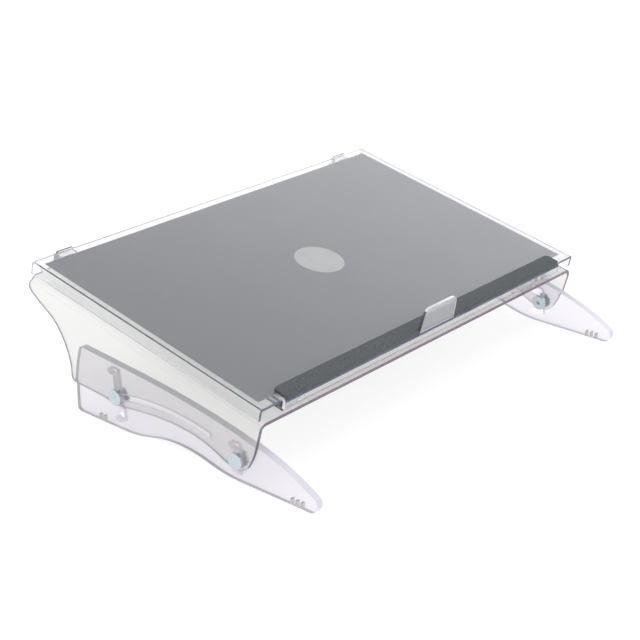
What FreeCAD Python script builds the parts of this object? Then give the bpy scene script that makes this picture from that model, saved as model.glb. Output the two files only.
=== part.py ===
import FreeCAD, Part
import math
import os
from FreeCAD import Vector

# Clear acrylic writing slope: a sliding tray on a bent bed that is bolted between two slotted feet.
# Millimetres. X runs left to right, Y from the user to the rear, Z up. All outlines of the sides are
# given as (y, z) from a datum on the desk below the front edge of the tray.

# Tray
tray_width = 520.0
tray_depth = 310.0
slope = math.radians(11.5)
tray_front_height = 85.0
tray_sheet = 3.0
flange_height = 13.2
flange_radius = 0.3
lip_half_length = 229.0
lip_height = 10.3
lip_reach = 3.0
relief_width = 2.5
relief_depth = 4.0

# Grey panel bonded under the clear sheet, and the badge let into it
panel_inset_side = 10.0
panel_inset_front = 11.5
panel_inset_rear = 8.0
panel_sheet = 0.8
badge_diameter = 54.0
badge_gap = 0.05

# Ledge strip along the front of the tray, and the page stop let into it
strip_half_length = 227.5
strip_depth = 18.0
strip_height = 3.3
strip_corner = 4.0
stop_half_base = 28.5
stop_half_top = 26.0
stop_height = 26.5
stop_sheet = 3.0
stop_corner = 8.0
stop_foot_depth = 12.0
stop_foot_sheet = 1.2
stop_gap = 0.1

# Bed and its cheeks
bed_sheet = 4.0
bend_radius = 5.0
bed_gap = 12.5
bed_reach = 2.5
cheek_drop = 140.0
blank_margin = 10.0

# Guide rails on the bed, runners and travel stops
rail_width = 20.0
rail_centre = 216.0
rail_front = 0.5
rail_overhang = 6.0
upstand_sheet = 3.0
groove_height = 4.6
groove_depth = 4.4
groove_floor = 3.6
running_gap = 0.3
rail_gap = 0.1
runner_width = 7.0
runner_front = 146.0
runner_rear = 300.0
travel = 130.0
travel_stop_length = 10.0
travel_stop_height = 8.0

# Feet
foot_sheet = 8.0
foot_gap = 0.3
nose_radius = 8.5
nose_y = -55.0
channel_width = 7.6
channel_lean = math.radians(6.5)
notch_depth = 7.0
front_notch_step = 12.5
rear_notch_step = 24.5

# Grip inserts under the feet
grip_width = 1.9
grip_height = 6.0
grip_pitch = 6.0
front_grip_y = -45.0
rear_grip_y = 213.0

# Clamp bolts: a sleeve nut outside each cheek, a socket screw inside each foot
front_axis = (30.0, 23.5)
rear_axis = (189.0, 36.0)
head_diameter = 17.0
head_thickness = 3.0
head_chamfer = 0.7
sleeve_diameter = 6.5
sleeve_length = 11.0
screw_diameter = 4.0
screw_length = 9.0
bore_gap = 0.05
socket_flats = 4.0
socket_depth = 2.0
slot_width = 7.0
slot_middle = (127.5, 43.2)
slot_front = (66.0, 37.0)
slot_margin = 4.0

tray_half = tray_width / 2
bed_top = -tray_sheet - bed_gap
panel_low = -tray_sheet - panel_sheet
foot_outer = tray_half - bed_sheet - foot_gap
foot_inner = foot_outer - foot_sheet
along = Vector(0, math.cos(slope), math.sin(slope))
normal = Vector(0, -math.sin(slope), math.cos(slope))
across = Vector(1, 0, 0)


def on_slope(x, s, n):
    """Point x across, s up the slope from the tray's front edge and n above its top face."""
    return Vector(x, 0, tray_front_height) + along * s + normal * n


def slope_block(x_range, s_range, n_range):
    """Block whose faces follow the slope."""
    low = on_slope(x_range[0], s_range[0], n_range[0])
    corners = [
        low,
        low + across * (x_range[1] - x_range[0]),
        low + across * (x_range[1] - x_range[0]) + along * (s_range[1] - s_range[0]),
        low + along * (s_range[1] - s_range[0]),
    ]
    face = Part.Face(Part.makePolygon(corners + [low]))
    return face.extrude(normal * (n_range[1] - n_range[0]))


def is_long_edge(edge, x, n):
    """Is the edge a straight one up the slope at the given |x| and n?"""
    if len(edge.Vertexes) != 2:
        return False
    ends = [v.Point for v in edge.Vertexes]
    heights = [(p - on_slope(0, 0, 0)).dot(normal) for p in ends]
    return all(abs(abs(p.x) - x) < 0.01 for p in ends) and all(abs(h - n) < 0.01 for h in heights)


def is_cross_edge(edge, s, n):
    """Is the edge a straight one across X at the given s and n?"""
    if len(edge.Vertexes) != 2:
        return False
    places = [v.Point - on_slope(0, 0, 0) for v in edge.Vertexes]
    return all(abs(p.dot(along) - s) < 0.01 and abs(p.dot(normal) - n) < 0.01 for p in places)


def bent_channel(half, sheet, radius, s_range, n_range):
    """Sheet bent down along both sides: a flat top and two legs, with the given inner bend radius."""
    block = slope_block((-half, half), s_range, n_range)
    block = block.makeFillet(radius + sheet, [e for e in block.Edges if is_long_edge(e, half, n_range[1])])
    inner = half - sheet
    ceiling = n_range[1] - sheet
    hollow = slope_block((-inner, inner), (s_range[0] - 1, s_range[1] + 1), (n_range[0] - 1, ceiling))
    hollow = hollow.makeFillet(radius, [e for e in hollow.Edges if is_long_edge(e, inner, ceiling)])
    return block.cut(hollow)


def side_point(p, x=0.0):
    return Vector(x, p[0], p[1])


def line(a, b):
    return Part.LineSegment(side_point(a), side_point(b)).toShape()


def arc(a, b, c):
    return Part.Arc(side_point(a), side_point(b), side_point(c)).toShape()


def spline(points, start_turn, end_turn):
    """Smooth edge through the points, leaving and arriving at the given directions in degrees."""
    curve = Part.BSplineCurve()
    ends = [Vector(0, math.cos(math.radians(t)), math.sin(math.radians(t))) for t in (start_turn, end_turn)]
    curve.interpolate(Points=[side_point(p) for p in points], InitialTangent=ends[0], FinalTangent=ends[1])
    return curve.toShape()


def side_prism(edges, x_from, x_to):
    """Prism across X from a closed outline of edges drawn in the Y-Z plane."""
    face = Part.Face(Part.Wire(edges))
    face.translate(across * x_from)
    return face.extrude(across * (x_to - x_from))


def ogee(a, b):
    """Two arcs that leave a and reach b level, turning half way."""
    middle = ((a[0] + b[0]) / 2, (a[1] + b[1]) / 2)
    run = abs(b[0] - a[0])
    rise = abs(b[1] - a[1])
    radius = (run * run + rise * rise) / (4 * rise)
    sag = radius * (1 - math.cos(math.asin(run / (2 * radius)) / 2))
    direction = math.copysign(1.0, b[0] - a[0])
    bend = radius * math.sin(math.asin(run / (2 * radius)) / 2)
    upward = math.copysign(1.0, b[1] - a[1])
    first = (a[0] + direction * bend, a[1] + upward * sag)
    second = (b[0] - direction * bend, b[1] - upward * sag)
    return [arc(a, first, middle), arc(middle, second, b)]


def slotted_hole(a, b, width, x_from, x_to):
    """Prism across X of a straight slot with round ends centred on a and b."""
    half = width / 2
    turn = math.atan2(b[1] - a[1], b[0] - a[0])
    ux, uz = math.cos(turn) * half, math.sin(turn) * half
    a_left, a_right, a_end = (a[0] - uz, a[1] + ux), (a[0] + uz, a[1] - ux), (a[0] - ux, a[1] - uz)
    b_left, b_right, b_end = (b[0] - uz, b[1] + ux), (b[0] + uz, b[1] - ux), (b[0] + ux, b[1] + uz)
    edges = [
        line(a_right, b_right),
        arc(b_right, b_end, b_left),
        line(b_left, a_left),
        arc(a_left, a_end, a_right),
    ]
    return side_prism(edges, x_from, x_to)


def round_bar(axis, diameter, x_from, x_to):
    """Cylinder across X on a bolt axis."""
    return Part.makeCylinder(diameter / 2, abs(x_to - x_from), side_point(axis, min(x_from, x_to)), across)


def mirror(shape):
    return shape.mirror(Vector(0, 0, 0), across)


def tray_sheet_solid():
    """Sheet with square side flanges bent down and a short lip bent down along the middle of the front."""
    sheet = bent_channel(tray_half, tray_sheet, flange_radius, (0, tray_depth), (-flange_height, 0))
    lip = slope_block((-lip_half_length, lip_half_length), (-lip_reach, relief_depth), (-lip_height, 0))
    roll = [e for e in lip.Edges if is_cross_edge(e, -lip_reach, 0)]
    lip = lip.makeFillet(flange_radius + tray_sheet, roll)
    behind = tray_sheet - lip_reach
    hollow = slope_block((-tray_half, tray_half), (behind, tray_depth), (-lip_height - 1, -tray_sheet))
    inner_roll = [e for e in hollow.Edges if is_cross_edge(e, behind, -tray_sheet)]
    hollow = hollow.makeFillet(flange_radius, inner_roll)
    sheet = sheet.fuse(lip.cut(hollow)).removeSplitter()
    for side in (-1, 1):
        near = side * lip_half_length
        far = side * (lip_half_length + relief_width)
        low, high = min(near, far), max(near, far)
        sheet = sheet.cut(slope_block((low, high), (-1, relief_depth), (-tray_sheet - 1, 1)))
    return sheet


def writing_panel():
    """Grey panel under the sheet, with a round window for the badge."""
    side = tray_half - panel_inset_side
    length = (panel_inset_front, tray_depth - panel_inset_rear)
    panel = slope_block((-side, side), length, (panel_low, -tray_sheet))
    return panel.cut(badge_disc(badge_diameter / 2 + badge_gap))


def badge_disc(radius):
    """Thin disc in the middle of the panel, against the underside of the clear sheet."""
    return Part.makeCylinder(radius, panel_sheet, on_slope(0, tray_depth / 2, panel_low), normal)


def page_stop(gap=0.0):
    """Upright plate at the front edge of the tray, tapered, with a thin foot to the rear."""
    front = -lip_reach
    half, low = stop_half_base + gap, on_slope(0, front, 0)
    outline = [
        low - across * half,
        low + across * half,
        low + across * (stop_half_top + gap) + normal * stop_height,
        low - across * (stop_half_top + gap) + normal * stop_height,
    ]
    plate = Part.Face(Part.makePolygon(outline + [outline[0]])).extrude(along * (stop_sheet + gap))
    corners = [e for e in plate.Edges if abs(abs(e.tangentAt(0).dot(along)) - 1) < 0.01]
    top = [e for e in corners if (e.CenterOfMass - low).dot(normal) > strip_height]
    plate = plate.makeFillet(stop_corner, top)
    foot_range = (front, front + stop_foot_depth + gap)
    return plate.fuse(slope_block((-half, half), foot_range, (0, stop_foot_sheet + gap))).removeSplitter()


def ledge_strip():
    """Soft strip along the front edge, round-cornered, cut out for the page stop and its foot."""
    ends = (-lip_reach, strip_depth - lip_reach)
    strip = slope_block((-strip_half_length, strip_half_length), ends, (0, strip_height))
    corners = [e for e in strip.Edges if abs(abs(e.tangentAt(0).dot(normal)) - 1) < 0.01]
    return strip.makeFillet(strip_corner, corners).cut(page_stop(stop_gap))


def tray_runner():
    """Right-hand runner under the tray; its tongue runs in the groove of the rail outside it."""
    rail_inner = rail_centre - rail_width / 2
    outer = rail_inner - running_gap
    tongue_low = bed_top + groove_floor + running_gap
    tongue_high = tongue_low + groove_height - 2 * running_gap
    body = slope_block((outer - runner_width, outer), (runner_front, runner_rear), (tongue_low, panel_low))
    reach = rail_inner + groove_depth - running_gap
    tongue = slope_block((outer, reach), (runner_front, runner_rear), (tongue_low, tongue_high))
    return body.fuse(tongue).removeSplitter()


def guide_rail():
    """Right-hand rail on the bed, grooved on its inner side, with an upstand behind the tray."""
    low = rail_centre - rail_width / 2
    high = rail_centre + rail_width / 2
    rear = tray_depth + rail_overhang
    rail = slope_block((low, high), (rail_front, rear), (bed_top, panel_low - rail_gap))
    behind = tray_depth + running_gap
    upstand = slope_block((low, high), (behind, behind + upstand_sheet), (bed_top, 0))
    rail = rail.fuse(upstand).removeSplitter()
    groove_low = bed_top + groove_floor
    groove_heights = (groove_low, groove_low + groove_height)
    groove = slope_block((low, low + groove_depth), (rail_front - 1, rear + 1), groove_heights)
    return rail.cut(groove)


def travel_stop():
    """Right-hand block on the bed that the runner meets at the end of the tray's travel."""
    outer = rail_centre - rail_width / 2
    front = runner_front - travel - travel_stop_length - 1
    width = (outer - runner_width, outer)
    return slope_block(width, (front, front + travel_stop_length), (bed_top, bed_top + travel_stop_height))


def bed_profile():
    """Channel section of the bed, longer than the plate at both ends, with legs for the cheeks."""
    ends = (-blank_margin, tray_depth + blank_margin)
    return bent_channel(tray_half, bed_sheet, bend_radius, ends, (bed_top - cheek_drop, bed_top))


def cheek_outline():
    """Side outline of the bed: plate ends square to the slope, swept cheeks with a lobe at each bolt."""
    front_top = on_slope(0, -bed_reach, 0)
    front_low = on_slope(0, -bed_reach, bed_top - bed_sheet)
    rear_top = on_slope(0, tray_depth, 0)
    rear_low = on_slope(0, tray_depth, bed_top - bed_sheet)
    top_front, low_front = (front_top.y, front_top.z), (front_low.y, front_low.z)
    top_rear, low_rear = (rear_top.y, rear_top.z), (rear_low.y, rear_low.z)
    downward = math.degrees(slope) - 90
    lobe_bottom = (front_axis[0] - 2, front_axis[1] - 9.5)
    heel = (247.0, 33.3)
    rear_dip = (rear_axis[0] - 2, rear_axis[1] - 8.6)
    return [
        line(top_front, low_front),
        spline([low_front, (6.2, 44), (15.5, 21.5), lobe_bottom], downward - 8, 0),
        spline([lobe_bottom, (53, 21.6), (127, 33.4), rear_dip], 0, -6),
        spline([rear_dip, (198, 29), heel], 2, 5),
        spline([heel, (252.3, 36.3), (253.5, 42)], 8, 90),
        spline([(253.5, 42), (259, 66), (277, 92.5), (301, 108.5), (310.9, 121.5), low_rear], 90, 90 + 16),
        line(low_rear, top_rear),
        line(top_rear, top_front),
    ]


def curved_slot(x_from, x_to):
    """Arc slot for the rear bolt, with round ends."""
    half = slot_width / 2
    path = arc(rear_axis, slot_middle, slot_front).Curve
    centre = path.Center
    radius = path.Radius
    extra = slot_margin / radius
    start = math.atan2(rear_axis[1] - centre.z, rear_axis[0] - centre.y) - extra
    end = math.atan2(slot_front[1] - centre.z, slot_front[0] - centre.y)

    def at(turn, r):
        return (centre.y + math.cos(turn) * r, centre.z + math.sin(turn) * r)

    middle = (start + end) / 2
    outer, inner = radius + half, radius - half
    round_step = half / radius
    edges = [
        arc(at(start, inner), at(middle, inner), at(end, inner)),
        arc(at(end, inner), at(end + round_step, radius), at(end, outer)),
        arc(at(end, outer), at(middle, outer), at(start, outer)),
        arc(at(start, outer), at(start - round_step, radius), at(start, inner)),
    ]
    return side_prism(edges, x_from, x_to)


def bed_panel():
    bed = bed_profile().common(side_prism(cheek_outline(), -tray_half - 1, tray_half + 1))
    hole = round_bar(front_axis, sleeve_diameter + 2 * bore_gap, -tray_half - 1, tray_half + 1)
    bed = bed.cut(hole)
    return bed.cut(curved_slot(-tray_half - 1, tray_half + 1))


def foot_outline():
    """Low foot: round nose, long swept top, upright rear and a shallow arch between two flats."""
    leave = math.radians(120)
    nose_bottom = (nose_y, 0.0)
    nose_front = (nose_y - nose_radius, nose_radius)
    nose_top = (nose_y + nose_radius * math.cos(leave), nose_radius + nose_radius * math.sin(leave))
    crest = (109.0, 10.5)
    front_flat = (30.0, 0.0)
    rear_flat = (183.0, 0.0)
    heel_radius = 5.0
    heel = 251.0
    shoulder = (238.5, 73.4)
    turn = heel_radius * (1 - math.sqrt(0.5))
    return [
        line(nose_bottom, front_flat),
        *ogee(front_flat, crest),
        *ogee(crest, rear_flat),
        line(rear_flat, (heel - heel_radius, 0)),
        arc((heel - heel_radius, 0), (heel - turn, turn), (heel, heel_radius)),
        spline([(heel, heel_radius), (heel, 25), (246.3, 58), (243.2, 70.2)], 90, 103),
        spline([(243.2, 70.2), (241.6, 72.7), shoulder], 103, 185),
        spline([shoulder, (120, 63.2), (50, 52.6), (-16, 35.6), nose_top], 185, 210),
        arc(nose_top, nose_front, nose_bottom),
    ]


def adjuster_slot(axis, step):
    """Leaning channel with three notches to the rear, which the clamp bolt drops into."""
    x_from, x_to = foot_inner - 1, foot_outer + 1
    places = []
    for count in (-1, 0, 1):
        rise = count * step
        places.append((axis[0] + rise * math.tan(channel_lean), axis[1] + rise))
    slot = slotted_hole(places[0], places[-1], channel_width, x_from, x_to)
    for place in places:
        notch_end = (place[0] + notch_depth, place[1])
        slot = slot.fuse(slotted_hole(place, notch_end, channel_width, x_from, x_to))
    return slot


def grip_places():
    front = [front_grip_y + count * grip_pitch for count in range(3)]
    rear = [rear_grip_y + count * grip_pitch for count in range(2)]
    return front, rear


def grip_block(y):
    """Upright insert through the foot's thickness, flush with its underside."""
    corner = Vector(foot_inner, y - grip_width / 2, 0)
    return Part.makeBox(foot_sheet, grip_width, grip_height, corner)


def foot():
    solid = side_prism(foot_outline(), foot_inner, foot_outer)
    solid = solid.cut(adjuster_slot(front_axis, front_notch_step))
    solid = solid.cut(adjuster_slot(rear_axis, rear_notch_step))
    for group in grip_places():
        for y in group:
            solid = solid.cut(grip_block(y))
    return solid


def headed(axis, x_seat, direction):
    """Flat round head seated at x_seat and facing along direction, with its rim chamfered."""
    head = round_bar(axis, head_diameter, x_seat, x_seat + direction * head_thickness)
    face_x = x_seat + direction * head_thickness
    rim = [e for e in head.Edges if abs(e.CenterOfMass.x - face_x) < 0.01 and len(e.Vertexes) == 1]
    return head.makeChamfer(head_chamfer, rim)


def sleeve_nut(axis):
    """Right-hand nut: plain head outside the cheek and a threaded sleeve through cheek and foot."""
    head = headed(axis, tray_half, 1)
    sleeve = round_bar(axis, sleeve_diameter, tray_half - sleeve_length, tray_half)
    bore = round_bar(axis, screw_diameter + 2 * bore_gap, tray_half - sleeve_length - 1, tray_half)
    return head.fuse(sleeve).removeSplitter().cut(bore)


def hexagon(axis, flats, x_from, x_to):
    corner = flats / math.sqrt(3)
    points = []
    for count in range(7):
        turn = math.radians(60 * count)
        points.append(Vector(x_from, axis[0] + corner * math.cos(turn), axis[1] + corner * math.sin(turn)))
    return Part.Face(Part.makePolygon(points)).extrude(across * (x_to - x_from))


def clamp_screw(axis):
    """Right-hand screw: flat head with a hexagon socket inside the foot, shank in the sleeve nut."""
    head = headed(axis, foot_inner, -1)
    shank = round_bar(axis, screw_diameter, foot_inner, foot_inner + screw_length)
    face_x = foot_inner - head_thickness
    socket = hexagon(axis, socket_flats, face_x - 1, face_x + socket_depth)
    return head.fuse(shank).removeSplitter().cut(socket)


def all_pieces():
    pieces = {
        "tray_sheet": tray_sheet_solid(),
        "writing_panel": writing_panel(),
        "ledge_strip": ledge_strip(),
        "page_stop": page_stop(),
        "centre_badge": badge_disc(badge_diameter / 2),
        "bed_panel": bed_panel(),
    }
    front_grips, rear_grips = grip_places()
    handed = {
        "guide_rail": guide_rail(),
        "travel_stop": travel_stop(),
        "tray_runner": tray_runner(),
        "foot": foot(),
        "front_grips": Part.makeCompound([grip_block(y) for y in front_grips]),
        "rear_grips": Part.makeCompound([grip_block(y) for y in rear_grips]),
        "front_sleeve_nut": sleeve_nut(front_axis),
        "rear_sleeve_nut": sleeve_nut(rear_axis),
        "front_clamp_screw": clamp_screw(front_axis),
        "rear_clamp_screw": clamp_screw(rear_axis),
    }
    for name, shape in handed.items():
        pieces[name + "_right"] = shape
        pieces[name + "_left"] = mirror(shape)
    return pieces


def export():
    """Write each piece with the origin at the middle of the footprint of the whole, on the desk."""
    pieces = all_pieces()
    box = FreeCAD.BoundBox()
    for shape in pieces.values():
        box.add(shape.optimalBoundingBox(False, False))
    shift = Vector(0, -(box.YMin + box.YMax) / 2, 0)
    os.makedirs("parts", exist_ok=True)
    for name, shape in pieces.items():
        shape.translate(shift)
        shape.exportStep("parts/" + name + ".step")
        print(name, shape.isValid(), len(shape.Solids), round(shape.Volume / 1000, 2), "cm3")
    print("box", box.XLength, box.YLength, box.ZLength, "low", box.ZMin, "shift", shift.y)


export()
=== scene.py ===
import math

import bmesh
import bpy
from mathutils import Matrix, Vector
from mathutils.geometry import interpolate_bezier, intersect_point_line


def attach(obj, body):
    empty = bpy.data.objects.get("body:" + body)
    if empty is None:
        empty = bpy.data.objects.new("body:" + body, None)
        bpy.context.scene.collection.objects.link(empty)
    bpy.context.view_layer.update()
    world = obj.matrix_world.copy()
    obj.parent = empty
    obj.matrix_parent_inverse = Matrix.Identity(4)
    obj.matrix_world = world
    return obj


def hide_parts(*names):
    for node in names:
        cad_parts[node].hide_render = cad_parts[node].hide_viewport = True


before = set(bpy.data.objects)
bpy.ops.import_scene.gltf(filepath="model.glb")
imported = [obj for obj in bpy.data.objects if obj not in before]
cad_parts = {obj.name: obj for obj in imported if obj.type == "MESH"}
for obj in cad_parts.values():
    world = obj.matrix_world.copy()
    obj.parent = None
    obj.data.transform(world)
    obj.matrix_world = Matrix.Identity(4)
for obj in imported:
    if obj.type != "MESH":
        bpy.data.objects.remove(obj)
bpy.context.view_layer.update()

# A clear writing slope: a sliding tray on a bent bed, bolted between two slotted feet.
# Pieces are built in millimetres, either on the slope (across, up the slope, above the tray's top)
# or from the side (rearward, upward), and then placed in metres in the stand's own frame.

scene = bpy.context.scene
scene.view_settings.view_transform = "Standard"

stand = {
    "slope": math.radians(11.5),
    "frontHeight": 85.0,  # tray's front edge above the desk
    "middleShift": -124.6232,  # from the front edge to the middle of the footprint
    "trayHalf": 260.0,
    "trayDepth": 310.0,
    "bedTop": -15.5,
    "frontBolt": (30.0, 23.5),
    "rearBolt": (189.0, 36.0),
    "contactGap": 0.05,  # air left between clear sheets and what lies against them
}

millimetres = Matrix.Scale(0.001, 4)
middle = Matrix.Translation((0, stand["middleShift"], 0))
sidePlace = millimetres @ middle
frontEdge = Matrix.Translation((0, 0, stand["frontHeight"]))
slopePlace = millimetres @ middle @ frontEdge @ Matrix.Rotation(stand["slope"], 4, "X")


def groupShell(name, inputs, outputs):
    group = bpy.data.node_groups.new(name, "ShaderNodeTree")
    for label, value in inputs.items():
        kind = "NodeSocketColor" if isinstance(value, tuple) else "NodeSocketFloat"
        socket = group.interface.new_socket(label, in_out="INPUT", socket_type=kind)
        socket.default_value = value
    for label, kind in outputs.items():
        group.interface.new_socket(label, in_out="OUTPUT", socket_type=kind)
    return group, group.nodes.new("NodeGroupInput"), group.nodes.new("NodeGroupOutput")


def addNode(tree, kind, settings=None, inputs=None):
    node = tree.nodes.new(kind)
    for label, value in (settings or {}).items():
        setattr(node, label, value)
    for label, value in (inputs or {}).items():
        if isinstance(value, bpy.types.NodeSocket):
            tree.links.new(value, node.inputs[label])
        else:
            node.inputs[label].default_value = value
    return node


def makeHandling():
    # faint wipe marks and dust: clean patches and slightly duller ones, with fine scuffs on top
    group, given, result = groupShell(
        "handlingMarks",
        {"Smear Size": 18.0, "Scuff Size": 900.0, "Clean": 0.0, "Marked": 0.08},
        {"Roughness": "NodeSocketFloat"},
    )
    place = addNode(group, "ShaderNodeTexCoord").outputs["Object"]
    smear = addNode(
        group, "ShaderNodeTexNoise", {},
        {"Vector": place, "Scale": given.outputs["Smear Size"], "Detail": 3.0, "Roughness": 0.55},
    )
    scuff = addNode(
        group, "ShaderNodeTexNoise", {},
        {"Vector": place, "Scale": given.outputs["Scuff Size"], "Detail": 2.0, "Roughness": 0.5},
    )
    patch = addNode(
        group, "ShaderNodeMapRange", {"interpolation_type": "SMOOTHSTEP"},
        {"Value": smear.outputs["Fac"], "From Min": 0.45, "From Max": 0.75},
    )
    fine = addNode(
        group, "ShaderNodeMath", {"operation": "MULTIPLY"},
        {0: patch.outputs["Result"], 1: scuff.outputs["Fac"]},
    )
    mark = addNode(
        group, "ShaderNodeMapRange", {},
        {
            "Value": fine.outputs["Value"], "From Max": 0.7,
            "To Min": given.outputs["Clean"], "To Max": given.outputs["Marked"],
        },
    )
    group.links.new(mark.outputs["Result"], result.inputs["Roughness"])
    return group


def makeGrain():
    # colour and height that vary a little all over, for moulded and coated surfaces
    group, given, result = groupShell(
        "surfaceGrain",
        {
            "Colour": (0.5, 0.5, 0.5, 1.0), "Second Colour": (0.4, 0.4, 0.4, 1.0), "Grain Size": 1500.0,
            "Cloud Size": 30.0, "Low Roughness": 0.5, "High Roughness": 0.6,
        },
        {"Colour": "NodeSocketColor", "Roughness": "NodeSocketFloat", "Height": "NodeSocketFloat"},
    )
    place = addNode(group, "ShaderNodeTexCoord").outputs["Object"]
    grain = addNode(
        group, "ShaderNodeTexNoise", {},
        {"Vector": place, "Scale": given.outputs["Grain Size"], "Detail": 2.0, "Roughness": 0.6},
    )
    cloud = addNode(
        group, "ShaderNodeTexNoise", {},
        {"Vector": place, "Scale": given.outputs["Cloud Size"], "Detail": 4.0, "Roughness": 0.5},
    )
    both = addNode(
        group, "ShaderNodeMath", {"operation": "ADD"}, {0: grain.outputs["Fac"], 1: cloud.outputs["Fac"]},
    )
    share = addNode(
        group, "ShaderNodeMapRange", {}, {"Value": both.outputs["Value"], "From Min": 0.7, "From Max": 1.3},
    )
    colour = addNode(group, "ShaderNodeMix", {"data_type": "RGBA"}, {"Factor": share.outputs["Result"]})
    group.links.new(given.outputs["Colour"], colour.inputs["A"])
    group.links.new(given.outputs["Second Colour"], colour.inputs["B"])
    rough = addNode(
        group, "ShaderNodeMapRange", {},
        {
            "Value": grain.outputs["Fac"], "From Min": 0.3, "From Max": 0.7,
            "To Min": given.outputs["Low Roughness"], "To Max": given.outputs["High Roughness"],
        },
    )
    group.links.new(colour.outputs["Result"], result.inputs["Colour"])
    group.links.new(rough.outputs["Result"], result.inputs["Roughness"])
    group.links.new(grain.outputs["Fac"], result.inputs["Height"])
    return group


handlingMarks = makeHandling()
surfaceGrain = makeGrain()


def newMaterial(name):
    material = bpy.data.materials.new(name)
    material.use_nodes = True
    tree = material.node_tree
    return material, tree, tree.nodes["Principled BSDF"], tree.nodes["Material Output"]


def setShader(shader, values):
    for label, value in values.items():
        shader.inputs[label].default_value = value


def placeGroup(tree, group, values):
    node = tree.nodes.new("ShaderNodeGroup")
    node.node_tree = group
    for label, value in values.items():
        node.inputs[label].default_value = value
    return node


def makeAcrylic(name, finish):
    material, tree, shader, output = newMaterial(name)
    clear = {"Base Color": finish["body"], "Transmission Weight": finish["clarity"], "IOR": 1.49}
    setShader(shader, clear | {"Metallic": 0.0})
    marks = placeGroup(tree, handlingMarks, {"Clean": finish["clean"], "Marked": finish["marked"]})
    tree.links.new(marks.outputs["Roughness"], shader.inputs["Roughness"])
    # lamp light passes straight through, so the floor and the panel under a clear sheet stay lit
    seeThrough = addNode(tree, "ShaderNodeBsdfTransparent", {}, {"Color": finish["shade"]})
    path = addNode(tree, "ShaderNodeLightPath")
    blend = addNode(tree, "ShaderNodeMixShader")
    tree.links.new(path.outputs["Is Shadow Ray"], blend.inputs["Fac"])
    tree.links.new(shader.outputs["BSDF"], blend.inputs[1])
    tree.links.new(seeThrough.outputs["BSDF"], blend.inputs[2])
    tree.links.new(blend.outputs["Shader"], output.inputs["Surface"])
    tint = addNode(
        tree, "ShaderNodeVolumeAbsorption", {}, {"Color": finish["tint"], "Density": finish["depth"]},
    )
    tree.links.new(tint.outputs["Volume"], output.inputs["Volume"])
    return material


def makeGrained(name, finish):
    material, tree, shader, output = newMaterial(name)
    setShader(shader, finish["shader"])
    grain = placeGroup(tree, surfaceGrain, finish["grain"])
    colour = grain.outputs["Colour"]
    if "inside" in finish:  # painted light: a cut edge is painted pale where it is seen through the clear sheet
        facing = addNode(tree, "ShaderNodeNewGeometry").outputs["Backfacing"]
        through = addNode(tree, "ShaderNodeMix", {"data_type": "RGBA"}, {"Factor": facing})
        through.inputs["B"].default_value = finish["inside"]
        tree.links.new(colour, through.inputs["A"])
        colour = through.outputs["Result"]
    tree.links.new(colour, shader.inputs["Base Color"])
    tree.links.new(grain.outputs["Roughness"], shader.inputs["Roughness"])
    bump = addNode(
        tree, "ShaderNodeBump", {},
        {"Strength": finish["bump"], "Distance": 0.0002, "Height": grain.outputs["Height"]},
    )
    tree.links.new(bump.outputs["Normal"], shader.inputs["Normal"])
    return material


clearFinish = {
    "trayAcrylic": {
        "clarity": 0.97, "body": (0.9, 0.9, 0.9, 1), "clean": 0.0, "marked": 0.02,
        "shade": (0.93, 0.94, 0.95, 1), "tint": (0.15, 0.2, 0.45, 1), "depth": 9.0,
    },
    "bedAcrylic": {
        "clarity": 0.94, "body": (0.8, 0.8, 0.79, 1), "clean": 0.0, "marked": 0.02,
        "shade": (0.93, 0.93, 0.94, 1), "tint": (0.3, 0.27, 0.3, 1), "depth": 9.0,
    },
    "footAcrylic": {
        "clarity": 0.93, "body": (0.885, 0.88, 0.9, 1), "clean": 0.0, "marked": 0.02,
        "shade": (0.92, 0.92, 0.94, 1), "tint": (0.4, 0.2, 0.5, 1), "depth": 11.0,
    },
    "stopAcrylic": {
        "clarity": 0.92, "body": (0.92, 0.93, 0.95, 1), "clean": 0.08, "marked": 0.2,
        "shade": (0.9, 0.91, 0.93, 1), "tint": (0.2, 0.25, 0.45, 1), "depth": 12.0,
    },
}
acrylic = {name: makeAcrylic(name, finish) for name, finish in clearFinish.items()}

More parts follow.
